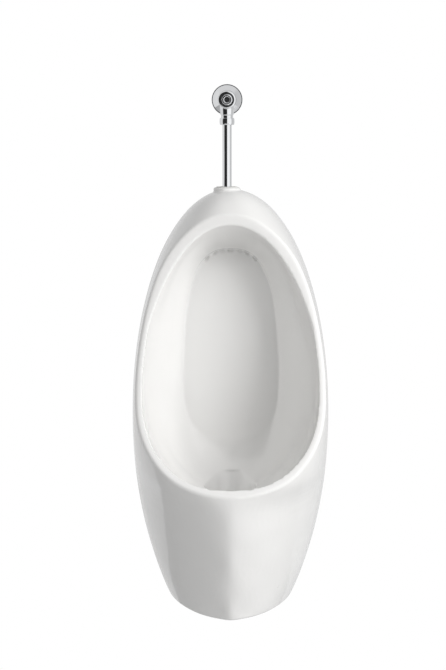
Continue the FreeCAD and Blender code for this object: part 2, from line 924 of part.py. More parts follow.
def spindle_seal():
    base = valve_spot(bonnet_floor_depth - spindle_seal_length + slip_fit)
    return ring(spindle_seal_radius - slip_fit, spindle_radius + slip_fit, base, OUT_OF_WALL,
                spindle_seal_length - 2 * slip_fit)


def push_button():
    """A dished cap on the spindle: a raised ring round a sunk middle."""
    dish = button_front - button_dish_depth
    socket = button_rear + button_socket
    profile = [(spindle_radius, button_rear), (button_radius, button_rear),
               (button_radius, button_front - button_bevel), (button_radius - button_bevel, button_front),
               (button_dish_radius + button_dish_slope, button_front), (button_dish_radius, dish),
               (0, dish - button_dish_cone), (0, socket), (spindle_radius, socket)]
    return valve_turned(profile)


def spindle():
    """The rod from the button to the piston, with a collar that stops at the valve seat."""
    start = seat_depth - piston_washer_thickness - piston_length / 2
    end = button_rear + button_socket
    body = valve_turned([(0, start), (spindle_radius, start), (spindle_radius, end), (0, end)])
    collar = ring(spindle_radius + spindle_collar_rim, spindle_radius - slip_fit, valve_spot(seat_depth),
                  OUT_OF_WALL, spindle_collar_length)
    return body.fuse(collar)


def piston():
    """The fluted block that presses the washer on the seat."""
    back = seat_depth - piston_washer_thickness - piston_length
    front = seat_depth - piston_washer_thickness
    socket = front - piston_length / 2
    profile = [(0, back), (piston_radius - piston_bevel, back), (piston_radius, back + piston_bevel),
               (piston_radius, front), (spindle_radius, front), (spindle_radius, socket), (0, socket)]
    body = valve_turned(profile)
    for turn in range(piston_flutes):
        flute = block(-piston_flute_width / 2, piston_flute_width / 2, back - overcut, front + overcut,
                      piston_radius - piston_flute_depth, piston_radius + overcut)
        flute.rotate(Vector(0, 0, 0), INTO_WALL, 360 / piston_flutes * turn)
        flute.translate(place(inlet_side, 0, valve_height))
        body = body.cut(flute)
    return body


def piston_washer():
    start = seat_depth - piston_washer_thickness
    return ring(piston_radius - piston_washer_inset, spindle_radius, valve_spot(start), OUT_OF_WALL,
                piston_washer_thickness)


def closing_spring():
    """A coil behind the piston, its ends just clear of what they press on."""
    end_room = spring_wire_radius + spring_end_gap
    low = strainer_depth + strainer_thickness + end_room
    high = seat_depth - piston_washer_thickness - piston_length - end_room
    radius = piston_radius - spring_inset - spring_wire_radius
    pitch = (high - low) / spring_turns
    path = Part.makeLongHelix(pitch, high - low, radius)
    wire = Part.Wire(Part.makeCircle(spring_wire_radius, Vector(radius, 0, 0), Vector(0, 1, 0)))
    coil = Part.Wire(path).makePipeShell([wire], True, True)
    coil.Placement = Placement(valve_spot(low), Rotation(UP, OUT_OF_WALL))
    return coil


def inlet_strainer():
    """A drilled disc across the inlet that the spring stands on."""
    rim = inlet_way_radius - slip_fit
    front = strainer_depth + strainer_thickness
    body = valve_turned([(0, strainer_depth), (rim, strainer_depth), (rim, front), (0, front)])
    for index in range(strainer_holes):
        turn = 2 * math.pi * index / strainer_holes
        x = inlet_side + strainer_ring_radius * math.cos(turn)
        height = valve_height + strainer_ring_radius * math.sin(turn)
        hole = rod(strainer_hole_radius, place(x, strainer_depth - overcut, height),
                   place(x, front + overcut, height))
        body = body.cut(hole)
    return body


def coupling_nut():
    """A round crowned nut that squeezes the seal onto the pipe."""
    bore = pipe_radius + loose_fit
    thread = spout_thread_radius + slip_fit
    profile = [(bore, 0), (nut_radius - nut_crown, 0), (nut_radius, nut_crown),
               (nut_radius + nut_swell, nut_height / 2), (nut_radius, nut_height - nut_crown),
               (nut_radius - nut_crown / 2, nut_height), (thread, nut_height), (thread, nut_floor),
               (bore, nut_floor)]
    return lathe(profile, spout_spot(nut_foot_drop), UP)


def pipe_top_seal():
    base = spout_spot(nut_foot_drop - nut_floor)
    height = nut_foot_drop - nut_floor - spout_end_drop
    return ring(spout_thread_radius - loose_fit, pipe_radius + slip_fit, base, UP, height)


# ======================================================================
# flush pipe
# ======================================================================

def bent_line(corners, radius):
    """Straight runs joined by arcs that touch them."""
    edges = []
    start = corners[0]
    for before, corner, after in zip(corners, corners[1:], corners[2:]):
        back = before.sub(corner).normalize()
        ahead = after.sub(corner).normalize()
        half_turn = (math.pi - back.getAngle(ahead)) / 2
        cut = radius * math.tan(half_turn)
        to_middle = back.add(ahead).normalize()
        middle = corner.add(to_middle.multiply(radius / math.cos(half_turn) - radius))
        first = corner.add(Vector(back).multiply(cut))
        last = corner.add(Vector(ahead).multiply(cut))
        edges.append(Part.LineSegment(start, first).toShape())
        edges.append(Part.Arc(first, middle, last).toShape())
        start = last
    edges.append(Part.LineSegment(start, corners[-1]).toShape())
    return Part.Wire(edges)


def flush_pipe():
    top = spout_spot(spout_end_drop - pipe_entry + soft_gap)
    corners = [top,
               spout_spot(pipe_bend_drop),
               place(inlet_side, inlet_depth, inlet_boss_top + pipe_last_bend_rise),
               place(inlet_side, inlet_depth, inlet_boss_top - pipe_insertion)]
    line = bent_line(corners, pipe_bend_radius)
    outside = Part.Wire(Part.makeCircle(pipe_radius, top, DOWN))
    inside = Part.Wire(Part.makeCircle(pipe_radius - pipe_wall, top, DOWN))
    return line.makePipeShell([outside], True, False).cut(line.makePipeShell([inside], True, False))


def inlet_seal():
    """A rubber bush between the pipe and the bowl's inlet, with a thin lip on top."""
    grip = pipe_radius + slip_fit
    side = inlet_bore_radius - slip_fit
    profile = [(grip, inlet_seal_lip), (inlet_seal_lip_radius - inlet_seal_lip_slope, inlet_seal_lip),
               (inlet_seal_lip_radius, 0), (side, 0), (side, inlet_seal_taper_length - inlet_seal_length),
               (inlet_bore_radius - inlet_seal_taper, -inlet_seal_length), (grip, -inlet_seal_length)]
    return lathe(profile, place(inlet_side, inlet_depth, inlet_boss_top), UP)


# ======================================================================
# waste fitting and bottle trap, on one upright line through the sump
# ======================================================================

def drain_spot(height):
    return place(0, sump_depth, height)


def drain_turned(profile):
    """A profile of (radius, height) turned about the drain's line."""
    return lathe(profile, drain_spot(0), UP)


def waste_body():
    """The flanged tail that clamps through the sump floor, with a cross bar for the screw."""
    recess = grid_radius + loose_fit
    ledge = waste_flange_top - grid_thickness
    tail = drain_turned([(waste_way_radius, waste_tail_end), (waste_tail_radius, waste_tail_end),
                         (waste_tail_radius, waste_flange_bottom), (waste_flange_radius, waste_flange_bottom),
                         (waste_flange_radius, waste_flange_top - waste_flange_bevel),
                         (waste_flange_radius - waste_flange_bevel, waste_flange_top),
                         (recess, waste_flange_top), (recess, ledge), (waste_way_radius, ledge)])
    bar_bottom, bar_top = waste_flange_bottom - waste_bar_height, ledge - soft_gap
    bar = block(-waste_way_radius - overcut, waste_way_radius + overcut,
                sump_depth - waste_bar_width / 2, sump_depth + waste_bar_width / 2, bar_bottom, bar_top)
    hub = rod(waste_hub_radius, drain_spot(bar_bottom), drain_spot(bar_top))
    hole = rod(grid_screw_radius + slip_fit, drain_spot(waste_tail_end), drain_spot(waste_flange_top))
    return tail.fuse([bar, hub]).cut(hole)


def waste_grid():
    """A round plate with two rings of holes."""
    base = waste_flange_top - grid_thickness
    body = rod(grid_radius, drain_spot(base), drain_spot(waste_flange_top))
    body = body.makeFillet(grid_round, circle_edges(body, grid_radius, drain_spot(waste_flange_top)))
    top = drain_spot(waste_flange_top + overcut)
    holes = [rod(grid_screw_radius + loose_fit, drain_spot(base - overcut), top)]
    for radius, count in zip(grid_ring_radii, grid_ring_counts):
        for index in range(count):
            angle = 2 * math.pi * index / count
            spot = place(radius * math.cos(angle), sump_depth + radius * math.sin(angle), base - overcut)
            holes.append(rod(grid_hole_radius, spot, spot.add(Vector(0, 0, grid_thickness + 2 * overcut))))
    return body.cut(Part.makeCompound(holes))


def grid_screw():
    """A slotted screw with a low round head, in the middle of the grid."""
    seat = waste_flange_top
    body = drain_turned([(0, seat + grid_screw_head_rise),
                         (grid_screw_crown_radius, seat + grid_screw_crown_rise),
                         (grid_screw_head_radius, seat), (grid_screw_radius, seat),
                         (grid_screw_radius, seat - grid_screw_length), (0, seat - grid_screw_length)])
    slot = block(-grid_screw_head_radius, grid_screw_head_radius,
                 sump_depth - grid_screw_slot_width / 2, sump_depth + grid_screw_slot_width / 2,
                 seat + grid_screw_slot_floor, seat + grid_screw_head_radius)
    return body.cut(slot)


def waste_upper_seal():
    return ring(waste_flange_radius - waste_seal_inset, waste_hole_radius + waste_seal_inset,
                drain_spot(sump_floor_height), UP, waste_seal_thickness)


def waste_lower_seal():
    return ring(backnut_radius - backnut_seal_inset, waste_tail_radius + loose_fit,
                drain_spot(backnut_top), UP, waste_seal_thickness)


def backnut():
    """A six sided nut whose corners are turned down at both ends."""
    base = drain_spot(backnut_top - backnut_height)
    turns = [math.pi / 3 * index for index in range(6)]
    corners = [base.add(Vector(math.cos(turn), math.sin(turn), 0).multiply(backnut_radius))
               for turn in turns]
    blank = Part.Face(Part.makePolygon(corners + corners[:1])).extrude(Vector(0, 0, backnut_height))
    crown = backnut_radius - backnut_crown
    turned = lathe([(0, 0), (crown, 0), (backnut_radius, backnut_crown_drop),
                    (backnut_radius, backnut_height - backnut_crown_drop), (crown, backnut_height),
                    (0, backnut_height)], base, UP)
    bore = rod(waste_tail_radius + slip_fit, drain_spot(waste_tail_end), drain_spot(waste_seat_height))
    return blank.common(turned).cut(bore)


def trap_nut():
    """The union nut that draws the trap's neck up to the waste tail."""
    low = neck_top - trap_neck_flange - trap_nut_lip
    high = low + trap_nut_height
    bore = trap_neck_radius + loose_fit
    thread = waste_tail_radius + slip_fit
    shoulder = trap_nut_radius - trap_nut_bevel
    profile = [(bore, low), (shoulder, low), (trap_nut_radius, low + trap_nut_bevel),
               (trap_nut_radius, high - trap_nut_bevel), (shoulder, high), (thread, high),
               (thread, low + trap_nut_lip), (bore, low + trap_nut_lip)]
    flutes_from = drain_spot(low - overcut)
    return ribbed(drain_turned(profile), trap_nut_radius, flutes_from, UP, trap_nut_height + 2 * overcut)


def ribbed(nut, radius, base, axis, length):
    """Shallow grip flutes round a round nut."""
    flutes = []
    turn_to_axis = Rotation(UP, axis)
    for index in range(flute_count):
        angle = 2 * math.pi * index / flute_count
        reach = radius + flute_radius - flute_depth
        spot = base.add(turn_to_axis.multVec(Vector(reach * math.cos(angle), reach * math.sin(angle), 0)))
        flutes.append(Part.makeCylinder(flute_radius, length, spot, axis))
    return nut.cut(Part.makeCompound(flutes))


def trap_neck_seal():
    return ring(waste_tail_radius - loose_fit, waste_way_radius, drain_spot(neck_top), UP,
                trap_seal_thickness)


def trap_head():
    """The upper half of the bottle: a neck, a cap, a dip tube and a side socket."""
    flange_low = neck_top - trap_neck_flange
    skirt = cup_radius + slip_fit
    shell = drain_turned([(trap_way_radius, dip_tube_end), (trap_way_radius + trap_wall, dip_tube_end),
                          (trap_way_radius + trap_wall, trap_head_top - trap_wall),
                          (skirt, trap_head_top - trap_wall), (skirt, trap_head_bottom),
                          (trap_head_radius, trap_head_bottom),
                          (trap_head_radius, trap_head_top - trap_head_bevel),
                          (trap_head_radius - trap_head_bevel, trap_head_top),
                          (trap_neck_radius, trap_head_top), (trap_neck_radius, flange_low),
                          (waste_tail_radius - loose_fit, flange_low),
                          (waste_tail_radius - loose_fit, neck_top), (trap_way_radius, neck_top)])
    mouth_end = place(0, socket_mouth_depth, outlet_height)
    past_mouth = mouth_end.add(Vector(0, overcut, 0))
    socket_root = place(0, sump_depth - trap_way_radius - trap_wall, outlet_height)
    socket = rod(outlet_socket_radius, socket_root, mouth_end)
    socket = socket.cut(rod(skirt, drain_spot(dip_tube_end), drain_spot(trap_head_top)))
    way = rod(outlet_pipe_radius + slip_fit, place(0, socket_stop_depth, outlet_height), past_mouth)
    port_root = place(0, socket_stop_depth + outlet_port_run, outlet_height)
    port = rod(outlet_pipe_radius - outlet_pipe_wall, port_root, past_mouth)
    return shell.fuse(socket).cut(way).cut(port)


def trap_cup():
    """The cup that unscrews from below, with a domed bottom and a grip rim."""
    lip = trap_head_bottom - cup_seal_thickness
    inner = cup_radius - slip_fit - trap_wall
    outer = cup_radius - cup_inset
    grip = lip - cup_grip_length
    profile = [(0, cup_bottom), (outer - cup_chamfer, cup_bottom), (outer, cup_bottom + cup_chamfer),
               (outer, grip - cup_grip_slope), (trap_head_radius, grip),
               (trap_head_radius, lip), (cup_radius - slip_fit, lip), (cup_radius - slip_fit, cup_thread_top),
               (inner, cup_thread_top), (inner, cup_bottom + cup_chamfer + trap_wall),
               (inner - cup_chamfer, cup_bottom + trap_wall), (0, cup_bottom + trap_wall)]
    return drain_turned(profile)


def cup_seal():
    base = drain_spot(trap_head_bottom - cup_seal_thickness)
    return ring(trap_head_radius - cup_seal_inset, cup_radius + loose_fit, base, UP, cup_seal_thickness)


def outlet_pipe():
    """The pipe into the wall, with a ring mark where it meets the wall."""
    start = place(0, socket_stop_depth - soft_gap, outlet_height)
    end = place(0, -outlet_pipe_tail, outlet_height)
    pipe = rod(outlet_pipe_radius, start, end).cut(rod(outlet_pipe_radius - outlet_pipe_wall, start, end))
    mark = ring(outlet_pipe_radius + overcut, outlet_pipe_radius - outlet_mark_depth,
                place(0, 0, outlet_height), OUT_OF_WALL, outlet_mark_width)
    return pipe.cut(mark)


def outlet_nut():
    """The slip nut that seals the outlet pipe in the trap's socket."""
    bore = outlet_pipe_radius + loose_fit
    thread = outlet_socket_radius + slip_fit
    shoulder = outlet_nut_radius - outlet_nut_bevel
    profile = [(bore, -outlet_nut_lip), (shoulder, -outlet_nut_lip),
               (outlet_nut_radius, outlet_nut_bevel - outlet_nut_lip),
               (outlet_nut_radius, outlet_nut_length - outlet_nut_bevel), (shoulder, outlet_nut_length),
               (thread, outlet_nut_length), (thread, 0), (bore, 0)]
    base = place(0, socket_mouth_depth - outlet_seal_thickness, outlet_height)
    flutes_from = base.add(Vector(0, outlet_nut_lip + overcut, 0))
    return ribbed(lathe(profile, base, OUT_OF_WALL), outlet_nut_radius, flutes_from, OUT_OF_WALL,
                  outlet_nut_length + outlet_nut_lip + 2 * overcut)


def outlet_seal():
    base = place(0, socket_mouth_depth - outlet_seal_thickness, outlet_height)
    return ring(outlet_socket_radius - loose_fit, outlet_pipe_radius + slip_fit, base, OUT_OF_WALL,
                outlet_seal_thickness)


def wall_collar():
    """A thin cover plate round the outlet where it enters the wall."""
    bore = outlet_pipe_radius + loose_fit
    profile = [(bore, 0), (collar_radius, 0), (collar_radius, collar_edge),
               (collar_radius - collar_slope, collar_thickness), (bore, collar_thickness)]
    return lathe(profile, place(0, 0, outlet_height), OUT_OF_WALL)


# ======================================================================

NODES = {
    "ceramic_body": ceramic_body,
    "hook_left": lambda: hook(-1),
    "hook_right": lambda: hook(1),
    "wall_screws": lambda: Part.makeCompound(wall_screws()),
    "screw_washers": lambda: Part.makeCompound(screw_washers()),
    "wall_plugs": lambda: Part.makeCompound(wall_plugs()),
    "valve_body": valve_body,
    "wall_flange": wall_flange,
    "valve_bonnet": valve_bonnet,
    "bonnet_seal": bonnet_seal,
    "spindle_seal": spindle_seal,
    "push_button": push_button,
    "spindle": spindle,
    "piston": piston,
    "piston_washer": piston_washer,
    "closing_spring": closing_spring,
    "inlet_strainer": inlet_strainer,
    "coupling_nut": coupling_nut,
    "pipe_top_seal": pipe_top_seal,
    "flush_pipe": flush_pipe,
    "inlet_seal": inlet_seal,
    "waste_body": waste_body,
    "waste_grid": waste_grid,
    "grid_screw": grid_screw,
    "waste_upper_seal": waste_upper_seal,
    "waste_lower_seal": waste_lower_seal,
    "backnut": backnut,
    "trap_nut": trap_nut,
    "trap_neck_seal": trap_neck_seal,
    "trap_head": trap_head,
    "trap_cup": trap_cup,
    "cup_seal": cup_seal,
    "outlet_pipe": outlet_pipe,
    "outlet_nut": outlet_nut,
    "outlet_seal": outlet_seal,
    "wall_collar": wall_collar,
}


def main():
    os.makedirs("parts", exist_ok=True)
    for name, make in NODES.items():
        save(name, make())


if __name__ == "__main__":
    main()
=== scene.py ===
"""Dresses the wall hung urinal.

A white glazed bowl, a chrome flush valve and pipe, and a plastic trap in the bowl's foot. The scene is in
metres, in the part's own frame. The wall is the plane y = 0 and the front faces -y, so a depth is -y.
z = 0 is the level of the two hook screws. The sizes of new pieces are in millimetres until they are made.
"""

import logging
import math
from collections.abc import Iterable, Mapping
from dataclasses import dataclass
from enum import Enum

import bpy
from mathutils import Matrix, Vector


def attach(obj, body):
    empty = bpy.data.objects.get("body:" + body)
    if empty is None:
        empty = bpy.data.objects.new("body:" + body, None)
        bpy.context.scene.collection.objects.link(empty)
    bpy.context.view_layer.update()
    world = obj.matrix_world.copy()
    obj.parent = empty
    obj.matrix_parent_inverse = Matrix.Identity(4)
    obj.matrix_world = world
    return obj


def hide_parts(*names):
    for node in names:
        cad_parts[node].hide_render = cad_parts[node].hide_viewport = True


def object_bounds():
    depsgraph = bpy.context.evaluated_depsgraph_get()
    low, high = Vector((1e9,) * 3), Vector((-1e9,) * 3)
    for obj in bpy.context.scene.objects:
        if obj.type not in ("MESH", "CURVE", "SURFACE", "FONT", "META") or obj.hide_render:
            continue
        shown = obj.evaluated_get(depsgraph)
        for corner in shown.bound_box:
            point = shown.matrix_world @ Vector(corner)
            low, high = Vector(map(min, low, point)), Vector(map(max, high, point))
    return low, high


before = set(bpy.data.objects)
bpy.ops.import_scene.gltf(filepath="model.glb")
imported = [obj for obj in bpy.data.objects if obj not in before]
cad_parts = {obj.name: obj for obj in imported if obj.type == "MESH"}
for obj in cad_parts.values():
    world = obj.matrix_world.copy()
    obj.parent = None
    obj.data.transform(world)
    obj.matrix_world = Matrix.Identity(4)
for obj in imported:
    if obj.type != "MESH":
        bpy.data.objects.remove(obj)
CAD_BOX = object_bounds()

MM = 0.001
log = logging.getLogger("urinal")

Pair = tuple[float, float]
Colour = tuple[float, float, float]
Stretch = tuple[float, float, float]
Outline = list[Pair]

EVENLY: Stretch = (1.0, 1.0, 1.0)


class Slot(Enum):
    """The record's material slots."""

    GLAZE = "glaze"
    CHROME = "chrome"
    STEEL = "steel"
    ZINC = "zinc_steel"
    BRASS = "brass"
    RUBBER = "rubber"
    WHITE_RUBBER = "white_rubber"
    WHITE_PLASTIC = "white_plastic"
    GREY_PLASTIC = "grey_plastic"


class Body(Enum):
    """The bodies that pieces ride on."""

    URINAL = "urinal"
    BUTTON = "button"


class Facing(Enum):
    """Which way a turned piece's axis points, as the turn about X that takes it there."""

    UP = 0.0
    OUT_OF_WALL = math.pi / 2


class Detail(Enum):
    """How many finer layers are laid on a cloudy pattern."""

    NONE = 0.0
    ONE = 1.0
    TWO = 2.0
    THREE = 3.0


# ---------------------------------------------------------------- node sheets

# The colour sockets of a Mix node, by number, because its sockets of every type share their names.
MIX_FIRST = 6
MIX_SECOND = 7
MIX_RESULT = 2


class Wire:
    """An output on a node sheet. Sums and products of wires are written as plain Python."""

    def __init__(self, sheet: "Sheet", socket: bpy.types.NodeSocket) -> None:
        """Wraps one output socket of a sheet."""
        self.sheet = sheet
        self.socket = socket

    def _math(self, operation: str, first: "Value", second: "Value") -> "Wire":
        """Adds a Math node for one operation and gives its result."""
        return self.sheet.node("ShaderNodeMath", {"operation": operation}, {0: first, 1: second})

    def __add__(self, other: "Value") -> "Wire":
        """self + other."""
        return self._math("ADD", self, other)

    def __radd__(self, other: "Value") -> "Wire":
        """other + self."""
        return self._math("ADD", other, self)

    def __sub__(self, other: "Value") -> "Wire":
        """self - other."""
        return self._math("SUBTRACT", self, other)

    def __rsub__(self, other: "Value") -> "Wire":
        """other - self."""
        return self._math("SUBTRACT", other, self)

    def __mul__(self, other: "Value") -> "Wire":
        """self * other."""
        return self._math("MULTIPLY", self, other)

    def __rmul__(self, other: "Value") -> "Wire":
        """other * self."""
        return self._math("MULTIPLY", other, self)


Value = Wire | float | Colour


class Sheet:
    """A tree of shader nodes that is filled from code."""

    def __init__(self, tree: bpy.types.NodeTree) -> None:
        """Takes the tree of a material or a world."""
        self.tree = tree

    def node(
        self,
        kind: str,
        settings: Mapping[str, object] | None = None,
        values: Mapping[int | str, Value] | None = None,
        output: int | str = 0,
    ) -> Wire:
        """Adds one node.

        Args:
            kind: the node's type name.
            settings: its properties, set before anything is linked. "stops" fills a colour ramp with pairs of
                place and grey.
            values: the number, colour or wire of each input.
            output: the output that is wanted.

        Returns:
            The wire from that output.
        """
        made = self.tree.nodes.new(kind)
        for name, setting in (settings or {}).items():
            if name == "stops":
                self._fill_ramp(made.color_ramp, setting)
            else:
                setattr(made, name, setting)
        for name, value in (values or {}).items():
            self.feed(made.inputs[name], value)
        return Wire(self, made.outputs[output])

    def _fill_ramp(self, ramp: bpy.types.ColorRamp, stops: Iterable[Pair]) -> None:
        """Replaces a ramp's stops by pairs of place and grey."""
        pairs = list(stops)
        while len(ramp.elements) < len(pairs):
            ramp.elements.new(1.0)
        for element, (place, grey) in zip(ramp.elements, pairs):
            element.position = place
            element.color = (grey, grey, grey, 1.0)

    def feed(self, socket: bpy.types.NodeSocket, value: Value) -> None:
        """Sets an input to a number or colour, or links a wire to it."""
        if isinstance(value, Wire):
            self.tree.links.new(value.socket, socket)
        elif isinstance(value, tuple) and len(value) < len(socket.default_value):
            socket.default_value = (*value, 1.0)
        else:
            socket.default_value = value


class MaterialSheet(Sheet):
    """The node sheet of one material, round its surface shader."""

    def __init__(self, name: str) -> None:
        """Starts a material with its surface shader and the place of each point on the piece."""
        self.material = bpy.data.materials.new(name)
        self.material.use_nodes = True
        super().__init__(self.material.node_tree)
        self.shader = self.tree.nodes["Principled BSDF"]
        self.place = self.node("ShaderNodeTexCoord", output="Object")

    def noise(self, size_mm: float, detail: Detail = Detail.TWO, stretch: Stretch = EVENLY) -> Wire:
        """Cloudy variation between 0 and 1.

        Args:
            size_mm: how large one cloud is.
            detail: how many finer layers are laid on it.
            stretch: how much denser the clouds lie along each axis.

        Returns:
            The wire of the noise.
        """
        placed = self.node("ShaderNodeMapping", values={"Vector": self.place, "Scale": stretch})
        return self.node(
            "ShaderNodeTexNoise",
            values={"Vector": placed, "Scale": 1.0 / (size_mm * MM), "Detail": detail.value},
        )

    def between(self, mask: Wire, low: float, high: float) -> Wire:
        """Spreads a 0 to 1 mask over a range of numbers."""
        return mask * (high - low) + low

    def tint(self, mask: Wire, first: Colour, second: Colour) -> Wire:
        """Blends two colours by a mask."""
        return self.node(
            "ShaderNodeMix",
            {"data_type": "RGBA"},
            {"Factor": mask, MIX_FIRST: first, MIX_SECOND: second},
            output=MIX_RESULT,
        )

    def bump(self, height: Wire, strength: float, depth_mm: float) -> Wire:
        """Makes a height pattern felt in the surface's normal."""
        return self.node(
            "ShaderNodeBump",
            values={"Height": height, "Strength": strength, "Distance": depth_mm * MM},
        )

    def finish(self, **sockets: Value) -> bpy.types.Material:
        """Feeds the shader's sockets, named with underscores for spaces, and gives the material."""
        for name, value in sockets.items():
            self.feed(self.shader.inputs[name.replace("_", " ")], value)
        return self.material


# ------------------------------------------------------------------- finishes


@dataclass(frozen=True)
class Glaze:
    """White glaze: a bright fired body under a clear gloss that pools and ripples a little."""

    body: Colour = (0.880, 0.875, 0.865)
    pooled: Colour = (0.860, 0.855, 0.840)
    body_roughness: Pair = (0.30, 0.40)
    coat: Pair = (0.92, 1.0)
    coat_index: float = 1.5
    coat_roughness: float = 0.035
    pool_size_mm: float = 90.0
    ripple_size_mm: float = 9.0
    ripple_strength: float = 0.05
    ripple_depth_mm: float = 0.4
    pinhole_size_mm: float = 1.3
    pinhole_share: float = 0.06

    def made(self, name: str) -> bpy.types.Material:
        """Makes the material under a name."""
        sheet = MaterialSheet(name)
        pools = sheet.noise(self.pool_size_mm, Detail.THREE)
        ripple = sheet.noise(self.ripple_size_mm, Detail.ONE)
        pinholes = sheet.noise(self.pinhole_size_mm, Detail.NONE)
        surface = ripple + pinholes * self.pinhole_share
        return sheet.finish(
            Base_Color=sheet.tint(pools, self.body, self.pooled),
            Roughness=sheet.between(pinholes, *self.body_roughness),
            Coat_Weight=sheet.between(pools, *self.coat),
            Coat_Roughness=self.coat_roughness,
            Coat_IOR=self.coat_index,
            Normal=sheet.bump(surface, self.ripple_strength, self.ripple_depth_mm),
        )


@dataclass(frozen=True)
class Metal:
    """Bare or plated metal with the marks of its polishing, turning or plating."""

    bright: Colour
    dull: Colour
    roughness: Pair
    mark_size_mm: float
    mark_strength: float
    mark_stretch: Stretch = EVENLY
    mark_depth_mm: float = 0.05
    mark_share: float = 0.5
    cloud_size_mm: float = 14.0

    def made(self, name: str) -> bpy.types.Material:
        """Makes the material under a name."""
        sheet = MaterialSheet(name)
        marks = sheet.noise(self.mark_size_mm, Detail.TWO, self.mark_stretch)
        clouds = sheet.noise(self.cloud_size_mm, Detail.THREE)
        wear = marks * self.mark_share + clouds * (1.0 - self.mark_share)
        return sheet.finish(
            Base_Color=sheet.tint(clouds, self.bright, self.dull),
            Metallic=1.0,
            Roughness=sheet.between(wear, *self.roughness),
            Normal=sheet.bump(marks, self.mark_strength, self.mark_depth_mm),
        )


@dataclass(frozen=True)
class Moulding:
    """Moulded plastic or rubber with a fine grain from its mould."""

    fresh: Colour
    worn: Colour
    roughness: Pair
    grain_size_mm: float
    grain_strength: float
    grain_depth_mm: float = 0.05
    grain_share: float = 0.6
    cloud_size_mm: float = 22.0
    coat: float = 0.0

    def made(self, name: str) -> bpy.types.Material:
        """Makes the material under a name."""
        sheet = MaterialSheet(name)
        grain = sheet.noise(self.grain_size_mm, Detail.TWO)
        clouds = sheet.noise(self.cloud_size_mm, Detail.THREE)
        wear = grain * self.grain_share + clouds * (1.0 - self.grain_share)
        return sheet.finish(
            Base_Color=sheet.tint(clouds, self.fresh, self.worn),
            Roughness=sheet.between(wear, *self.roughness),
            Coat_Weight=self.coat,
            Normal=sheet.bump(grain, self.grain_strength, self.grain_depth_mm),
        )


FINISHES: dict[Slot, Glaze | Metal | Moulding] = {
    Slot.GLAZE: Glaze(),
    Slot.CHROME: Metal(
        bright=(0.86, 0.87, 0.88),
        dull=(0.80, 0.81, 0.83),
        roughness=(0.03, 0.08),
        mark_size_mm=1.6,
        mark_strength=0.02,
    ),
    Slot.STEEL: Metal(
        bright=(0.66, 0.67, 0.68),
        dull=(0.56, 0.57, 0.59),
        roughness=(0.22, 0.36),
        mark_size_mm=0.9,
        mark_strength=0.25,
        mark_stretch=(1.0, 1.0, 9.0),
    ),
    Slot.ZINC: Metal(
        bright=(0.72, 0.73, 0.74),
        dull=(0.60, 0.62, 0.66),
        roughness=(0.20, 0.38),
        mark_size_mm=1.4,
        mark_strength=0.20,
    ),
    Slot.BRASS: Metal(
        bright=(0.80, 0.64, 0.34),
        dull=(0.66, 0.50, 0.25),
        roughness=(0.18, 0.32),
        mark_size_mm=0.6,
        mark_strength=0.20,
        mark_stretch=(1.0, 6.0, 6.0),
    ),
    Slot.RUBBER: Moulding(
        fresh=(0.035, 0.035, 0.036),
        worn=(0.060, 0.059, 0.057),
        roughness=(0.55, 0.75),
        grain_size_mm=0.5,
        grain_strength=0.35,
    ),
    Slot.WHITE_RUBBER: Moulding(
        fresh=(0.78, 0.78, 0.76),
        worn=(0.72, 0.71, 0.68),
        roughness=(0.45, 0.62),
        grain_size_mm=0.6,
        grain_strength=0.25,
    ),
    Slot.WHITE_PLASTIC: Moulding(
        fresh=(0.84, 0.84, 0.83),
        worn=(0.80, 0.80, 0.78),
        roughness=(0.22, 0.34),
        grain_size_mm=0.8,
        grain_strength=0.12,
        coat=0.25,
    ),
    Slot.GREY_PLASTIC: Moulding(
        fresh=(0.50, 0.51, 0.52),
        worn=(0.44, 0.45, 0.46),
        roughness=(0.42, 0.56),
        grain_size_mm=0.7,
        grain_strength=0.25,
    ),
}


class Finishes:
    """One material for each slot, made on its first use."""

    def __init__(self) -> None:
        """Starts with no material made."""
        self._made: dict[Slot, bpy.types.Material] = {}

    def of(self, slot: Slot) -> bpy.types.Material:
        """Gives the material of a slot."""
        if slot not in self._made:
            self._made[slot] = FINISHES[slot].made(f"finish_{slot.value}")
        return self._made[slot]

    def dress(self, piece: bpy.types.Object, slot: Slot) -> None:
        """Puts a slot's material on all of a piece."""
        piece.data.materials.clear()
        piece.data.materials.append(self.of(slot))
        for face in piece.data.polygons:
            face.material_index = 0


# ------------------------------------------------------------------- workshop

# Directions in an outline, in degrees.
OUTWARDS = 0.0
FORWARDS = 90.0
INWARDS = 180.0

# Runs in the rounded corners of an outline.
SHOULDER_STEPS = 10
RIM_STEPS = 8
EDGE_STEPS = 4

DOUBLED_MM = 0.002
FLAT_DEGREES = 0.5
EDGE_DEGREES = 30.0
BEVEL_STEPS = 3
CIRCLE_SIDES = 96
TURNED_CREASE = 32.0
RELAX_PULL = 0.5


def arc(centre: Pair, radius: float, start: float, end: float, steps: int) -> Outline:
    """Points along a circle's arc, for the rounded corner of an outline.

    Args:
        centre: the arc's centre, as a radius and a height.
        radius: the arc's own radius.
        start: the first point's direction in degrees, 0 being outwards and 90 along the axis.
        end: the last point's direction.
        steps: how many runs the arc has.

    Returns:
        The points, both ends among them.
    """
    turns = [math.radians(start + (end - start) * step / steps) for step in range(steps + 1)]
    return [(centre[0] + radius * math.cos(turn), centre[1] + radius * math.sin(turn)) for turn in turns]


